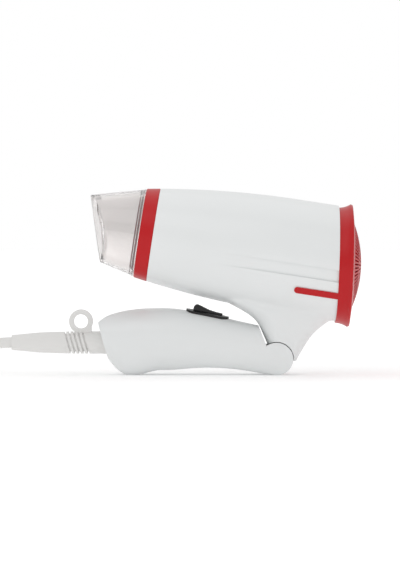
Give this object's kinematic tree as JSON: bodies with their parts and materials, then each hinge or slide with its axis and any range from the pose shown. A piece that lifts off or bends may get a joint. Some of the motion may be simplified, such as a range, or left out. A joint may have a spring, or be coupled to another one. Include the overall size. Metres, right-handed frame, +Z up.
{
  "type": "folding hair dryer",
  "caption": "Folding travel hair dryer with clear concentrator nozzle, domed inlet grille, rocker switch, hang loop and mains lead.",
  "frame": {"origin": "middle of the folded dryer on the surface it stands on, without its lead", "axes": "+X towards the inlet grille, +Y across the dryer, +Z up"},
  "size_m": [0.3346, 0.1056, 0.1115],
  "materials": {
    "white_shell": "satin",
    "red_trim": "satin",
    "clear_nozzle": "clear moulded",
    "black_switch": "gloss",
    "pale_pvc": "matte",
    "tie_plastic": "matte",
    "plated_brass": "plated",
    "zinc_steel": "satin",
    "motor_steel": "satin",
    "grey_nylon": "matte",
    "black_grille": "matte",
    "screen_mesh": "matte",
    "wire_insulation": "matte",
    "mica": "matte",
    "heating_wire": "oxidised",
    "fuse_ceramic": "matte",
    "circuit_board": "matte"
  },
  "bodies": {
    "handle": {"handle_shell_left": "white_shell", "handle_shell_right": "white_shell", "handle_screws": "zinc_steel", "hinge_pin": "zinc_steel", "switch_bezel": "black_switch", "rocker_pin": "zinc_steel", "switch_body": "grey_nylon", "switch_terminals": "plated_brass", "detent_plunger": "grey_nylon", "detent_spring": "zinc_steel", "cord_clamp_base": "grey_nylon", "cord_clamp_bridge": "grey_nylon", "cord_clamp_screws": "zinc_steel", "lead_wires": "wire_insulation", "lead_jacket_end": "pale_pvc", "strain_relief": "pale_pvc", "cord_lead": "pale_pvc", "cord_coil": "pale_pvc", "cord_tail": "pale_pvc", "cord_tie": "tie_plastic", "plug_body": "pale_pvc", "plug_pins": "plated_brass"},
    "rocker": {"switch_rocker": "black_switch"},
    "barrel": {"barrel_shell_left": "white_shell", "barrel_shell_right": "white_shell", "barrel_screws": "zinc_steel", "accent_strip_left": "red_trim", "accent_strip_right": "red_trim", "outlet_ring": "red_trim", "inlet_cover": "red_trim", "outlet_grille": "black_grille", "mica_sleeve": "mica", "heater_boards": "mica", "heating_coil": "heating_wire", "thermostat": "plated_brass", "thermal_fuse": "fuse_ceramic", "motor_can": "motor_steel", "motor_end_cap": "grey_nylon", "air_guide": "grey_nylon", "rectifier_board": "circuit_board", "inlet_screen": "screen_mesh"},
    "fan": {"fan_impeller": "grey_nylon", "motor_shaft": "zinc_steel"},
    "nozzle": {"nozzle": "clear_nozzle"}
  },
  "joints": [
    {"name": "fold_hinge", "type": "hinge", "parent": "handle", "child": "barrel", "pos_m": [0.03011, 0, 0.0098], "axis": [0, 1, 0], "range_deg": [0, 90]},
    {"name": "rocker_tilt", "type": "hinge", "parent": "handle", "child": "rocker", "pos_m": [-0.01139, 0, 0.03493], "axis": [0, -1, 0], "range_deg": [0, 18]},
    {"name": "fan_spin", "type": "hinge", "parent": "barrel", "child": "fan", "pos_m": [0.0434, 0, 0.07023], "axis": [0.9882, 0, -0.153], "continuous": true},
    {"name": "nozzle_turn", "type": "hinge", "parent": "barrel", "child": "nozzle", "pos_m": [-0.04749, 0, 0.0843], "axis": [0.9882, 0, -0.153], "continuous": true}
  ]
}
